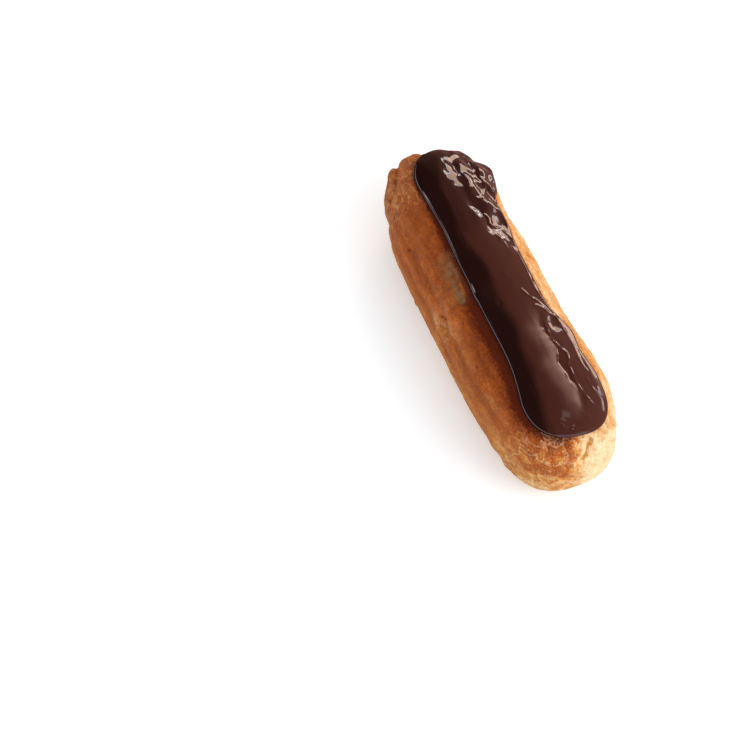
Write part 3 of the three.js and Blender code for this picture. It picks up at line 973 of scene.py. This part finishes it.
class ECLAIR_OT_glaze(bpy.types.Operator):
    """Lay the chocolate glaze over the top of the bun"""

    bl_idname = "eclair.glaze"
    bl_label = "Chocolate glaze"

    def execute(self, context):
        looks = context.scene.eclair_glaze
        bun = Bun(context.scene.eclair_bun)
        thick, gap = looks.thickness / MM, looks.gap / MM
        ring, u, v, rise = self.spots(thick)
        along, out = bun.ray(u, v)
        bed = bun.bed(u, v)
        inside = smooth((ring - 3) / 8)
        top = bun.point(along, out, bed + gap + thick * rise + flow(u, v) * inside)
        under = bun.point(along, out, bed - UNDERSIDE_SINK)
        values = self.values(u, v, inside)
        values = {key: np.concatenate([value, value * (key == "thick")]) for key, value in values.items()}
        piece = make_mesh("glaze", np.concatenate([top, under]), self.faces(*GLAZE_CELLS), values)
        keys = ("swell_size", "swell_height", "ripple_size", "ripple_height", "seed")
        apply_relief(piece, "Glaze flow", glaze_height, looks, keys, chocolate(looks))
        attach(piece, "root")
        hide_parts("chocolate_glaze")
        return {"FINISHED"}

    def spots(self, inset):
        """The ring, place and rise of each point of the glaze's grid. The last ring is the middle line."""
        rings = glaze_rings(*GLAZE_CELLS, RIM_CELLS, inset)
        ring, place = grid_of_rings(*GLAZE_CELLS)
        spots, rises = np.zeros(ring.shape + (2,)), np.zeros(ring.shape)
        for k, (row, rise) in enumerate(rings):
            here = ring == k
            spots[here] = row[place[here]] if k < len(rings) - 1 else self.middle(place[here])
            rises[here] = rise
        return ring.ravel(), spots[..., 0].ravel(), spots[..., 1].ravel(), rises.ravel()

    def middle(self, place):
        return glaze_edge("right", place / place.max())[1]

    def values(self, u, v, inside):
        """What the material and the relief ask of each point: ripples beside the first terrace's crease and
        in patches, dark chocolate on the left and at the far end, partly thick glaze and partly painted
        shade, and a dull film with a painted sheen before the second crease."""
        rippled = inside * smooth((-4 - u) / 12) * smooth((v - line_at(TERRACES[0][0], u) + 2) / 3)
        for (at_u, at_v), along, across, share in RIPPLED:
            rippled += share * bell(u, at_u, along) * bell(v, at_v, across)
        # Darker glaze on the left side and at the far end: partly thicker glaze, partly painted shade where
        # the light leaves the glaze.
        dark_edge = -6.4 + 1.2 * bell(u, 5, 15) + 5 * smooth((-30 - u) / 28) - 2.8 * smooth((u - 35) / 9)
        thick = 1 - smooth((v - dark_edge + 0.8 * np.sin(u / 4)) / 6)
        crease = line_at(TERRACES[1][0], u)
        # The dull film: rougher glaze, and in the material a paler painted sheen.
        dull = smooth((v - crease + 8.5) / 7.5) * smooth((crease - 0.4 - v) / 0.9)
        return {
            "relief": inside,
            "rippled": rippled,
            "thick": np.maximum(thick, 0.5 * smooth((-8 - u) / 24)),
            "dull": dull * smooth((u - 10) / 14) * smooth((57 - u) / 8),
        }

    def faces(self, long_cells, end_cells):
        """Top and underside as two grids, joined by a wall round their edges."""
        wide, deep = long_cells + 1, end_cells + 1
        index = np.arange(wide * deep).reshape(wide, deep)
        top = np.stack([index[:-1, :-1], index[:-1, 1:], index[1:, 1:], index[1:, :-1]], -1).reshape(-1, 4)
        under = top[:, ::-1] + wide * deep
        rim = np.concatenate([index[:-1, 0], index[-1, :-1], index[:0:-1, -1], index[0, :0:-1]])
        ahead = np.roll(rim, -1)
        wall = np.stack([rim, ahead, ahead + wide * deep, rim + wide * deep], -1)
        return np.concatenate([top, under, wall])


# The stage, in metres. The key lights the crust and never shows in the glaze.
KEY_AT, KEY_SIZE, KEY_COLOUR = (0.95, 0.7, 0.75), (0.8, 0.8), (1, 0.98, 0.95)
LIGHTS_AIM = (0, 0, 0.02)
SENSOR_WIDTH = 36
FLOOR_HALF, FLOOR_PATCHES, FLOOR_GLOW = 2.0, 0.3, 0.31

# Windows: direction, size, width of the frame's bars.
WINDOWS = (
    ((-0.53, 0.83, 0.17), (0.46, 0.17), 0.022),
    ((-0.74, 0.52, 0.3), (0.34, 0.4), 0.03),
)
WINDOW_DISTANCE, PANE_SHARE = 1.2, 0.7
PANE_COLOUR, BAR_COLOUR = (1, 0.66, 0.47), (0.95, 0.98, 1)
WALL_DISTANCE, WALL_SIZE, WALL_SHARE, WALL_COLOUR = 1.35, (1.1, 0.3), 0.14, (1, 0.75, 0.62)

# Lights for the glaze alone: name, direction, size, share of a window's brightness.
GLINTS = (
    ("low_side", (-0.12, 0.93, 0.3), (0.3, 0.12), 0.6),
    ("front_glint", (0.5, 0.05, 0.86), (0.24, 0.14), 0.4),
    ("tip_glow", (0.13, 0.25, 0.96), (0.16, 0.26), 0.14),
    ("left_glint", (-0.66, -0.58, 0.47), (0.2, 0.36), 1.0),
)
GLINT_DISTANCE, GLINT_COLOUR = 1.3, (1, 0.92, 0.9)

# The room: where its glow comes from, and the colours of its light, its reflection and the bright strips.
GLOW_FROM = (0.85, 0.2, 0.45)
AIR_COLOUR, ROOM_COLOUR, STRIP_COLOUR = (1, 0.99, 0.97), (1, 0.5, 0.4), (0.85, 0.84, 1)


class ECLAIR_OT_stage(bpy.types.Operator):
    """Set out the floor, the soft lights and the camera"""

    bl_idname = "eclair.stage"
    bl_label = "Floor, lights and camera"

    def execute(self, context):
        stage = context.scene.eclair_stage
        self.floor(stage)
        self.light("key", KEY_AT, KEY_SIZE, stage.key_power, KEY_COLOUR, False)
        self.windows(stage)
        self.sky(context, stage)
        self.camera(context, stage)
        context.scene.view_settings.view_transform = "Standard"
        return {"FINISHED"}

    def windows(self, stage):
        """What the glaze mirrors: two windows low behind the right side and the far end, with the warm wall
        round the first, and smaller lights that only reflections show."""
        for way, size, bar in WINDOWS:
            self.window(way, size, bar, stage.window_light)
        for name, way, size, share in GLINTS:
            at = Vector(way).normalized() * GLINT_DISTANCE
            lamp = self.panel(name, at, size, stage.window_light * share, GLINT_COLOUR)
            lamp.visible_diffuse = False
        at = Vector(WINDOWS[0][0]).normalized() * WALL_DISTANCE
        self.panel("wall", at, WALL_SIZE, stage.window_light * WALL_SHARE, WALL_COLOUR)

    def window(self, way, size, bar, radiance):
        """A warm pane in a brighter, cooler frame."""
        away = Vector(way).normalized() * WINDOW_DISTANCE
        across = Vector((-way[1], way[0], 0)).normalized()
        up = away.cross(across).normalized()
        up = up if up.z > 0 else -up
        wide, high = size
        self.panel("window_pane", away, size, radiance * PANE_SHARE, PANE_COLOUR)
        for side in (-1, 1):
            sill, post = up * side * (high / 2 + bar), across * side * (wide / 2 + bar)
            self.panel("window_sill", away + sill, (wide + 4 * bar, bar), radiance, BAR_COLOUR)
            self.panel("window_post", away + post, (bar, high), radiance, BAR_COLOUR)

    def panel(self, name, at, size, radiance, colour):
        return self.light(name, at, size, radiance * math.pi * size[0] * size[1], colour, True)

    def sky(self, context, stage):
        """Even light with a soft glow from the near end. Reflections show a room, dark overhead, on the left
        and beyond the far end, with bright strips low on the left and beyond the near end."""
        world = bpy.data.worlds.new("room")
        context.scene.world = world
        world.use_nodes = True
        tree = world.node_tree
        where = add_node(tree, "ShaderNodeTexCoord").outputs["Generated"]
        links = {0: where, 1: tuple(Vector(GLOW_FROM).normalized())}
        toward = add_node(tree, "ShaderNodeVectorMath", links, operation="DOT_PRODUCT").outputs["Value"]
        glow = maths(tree, "POWER", maths(tree, "MAXIMUM", toward, 0.0), 2.0)
        glow = added(tree, times(tree, glow, stage.glow), stage.ambient)
        ahead, right, up = add_node(tree, "ShaderNodeSeparateXYZ", {0: where}).outputs
        side = maths(tree, "ARCTAN2", right, up)
        room = times(tree, band(tree, side, 0.1, 1.15, 0.04, 1.0), band(tree, ahead, -0.95, -0.65, 0.3, 1.0))
        left = times(tree, band(tree, side, -1.35, -1.5), band(tree, side, -1.8, -1.95, 1.0, 0.0))
        near = band(tree, ahead, 0.8, 0.9)
        strips = added(tree, times(tree, left, 2.2), times(tree, near, 0.9))
        room = added(tree, times(tree, room, stage.mirrored), strips)
        hue = mix(tree, maths(tree, "MAXIMUM", left, near), rgba(ROOM_COLOUR), rgba(STRIP_COLOUR))
        in_gloss = add_node(tree, "ShaderNodeLightPath").outputs["Is Glossy Ray"]
        colour = mix(tree, in_gloss, rgba(AIR_COLOUR), hue)
        level = add_node(tree, "ShaderNodeMix", {0: in_gloss, 2: glow, 3: room}, data_type="FLOAT")
        fill_inputs(tree, tree.nodes["Background"], {"Color": colour, "Strength": level.outputs[0]})

    def floor(self, stage):
        """A pale floor that hardly varies, with a little light of its own, left out of reflections."""
        mesh = bpy.data.meshes.new("floor")
        corners = [(x * FLOOR_HALF, y * FLOOR_HALF, 0) for x, y in ((-1, -1), (1, -1), (1, 1), (-1, 1))]
        mesh.from_pydata(corners, [], [(0, 1, 2, 3)])
        floor = bpy.data.objects.new("floor", mesh)
        bpy.context.scene.collection.objects.link(floor)
        material, tree, surface = new_material("pale_floor")
        where = add_node(tree, "ShaderNodeTexCoord").outputs["Object"]
        share = band(tree, noise(tree, where, FLOOR_PATCHES, 2, 0.5), 0.2, 0.8)
        darker = [part * 0.99 for part in stage.floor_colour]
        finish = {
            "Base Color": mix(tree, share, rgba(darker), rgba(stage.floor_colour)),
            "Roughness": 0.9,
            "Specular IOR Level": 0.1,
            "Emission Color": (1, 1, 1, 1),
            "Emission Strength": FLOOR_GLOW,
        }
        fill_inputs(tree, surface, finish)
        mesh.materials.append(material)
        floor.visible_glossy = False

    def light(self, name, at, size, power, colour, seen):
        data = bpy.data.lights.new(name, "AREA")
        data.shape = "RECTANGLE"
        data.size, data.size_y = size
        data.energy = power
        data.color = colour
        lamp = bpy.data.objects.new(name, data)
        lamp.location = at
        lamp.rotation_euler = (Vector(LIGHTS_AIM) - Vector(at)).to_track_quat("-Z", "Y").to_euler()
        lamp.visible_glossy = seen
        bpy.context.scene.collection.objects.link(lamp)
        return lamp

    def camera(self, context, stage):
        a, e = stage.azimuth, stage.elevation
        back = Vector((math.sin(a) * math.cos(e), -math.cos(a) * math.cos(e), math.sin(e)))
        data = bpy.data.cameras.new("camera")
        data.sensor_width = SENSOR_WIDTH
        data.lens = stage.lens
        camera = bpy.data.objects.new("camera", data)
        camera.location = Vector(stage.target) + back * stage.distance
        camera.rotation_euler = (-back).to_track_quat("-Z", "Y").to_euler()
        context.scene.collection.objects.link(camera)
        context.scene.camera = camera


# Each group of settings: its name in the scene, its class, and the step that builds from it.
STEPS = (
    ("eclair_bun", EclairBun, "eclair.bun"),
    ("eclair_glaze", EclairGlaze, "eclair.glaze"),
    ("eclair_stage", EclairStage, "eclair.stage"),
)


class ECLAIR_PT_panel(bpy.types.Panel):
    """Sizes, colours and steps of the eclair"""

    bl_idname = "ECLAIR_PT_panel"
    bl_label = "Chocolate eclair"
    bl_space_type = "VIEW_3D"
    bl_region_type = "UI"
    bl_category = "Eclair"

    def draw(self, context):
        for group, _, step in STEPS:
            settings = getattr(context.scene, group)
            box = self.layout.box()
            for key in settings.__annotations__:
                box.prop(settings, key)
            box.operator(step)


CLASSES = (
    EclairBun,
    EclairGlaze,
    EclairStage,
    ECLAIR_OT_bun,
    ECLAIR_OT_glaze,
    ECLAIR_OT_stage,
    ECLAIR_PT_panel,
)


def register():
    for item in CLASSES:
        bpy.utils.register_class(item)
    for group, kind, _ in STEPS:
        setattr(bpy.types.Scene, group, PointerProperty(type=kind))


def unregister():
    for group, _, _ in STEPS:
        delattr(bpy.types.Scene, group)
    for item in reversed(CLASSES):
        bpy.utils.unregister_class(item)


def main():
    register()
    bpy.ops.eclair.bun()
    bpy.ops.eclair.glaze()
    bpy.ops.eclair.stage()


if __name__ == "__main__":
    main()
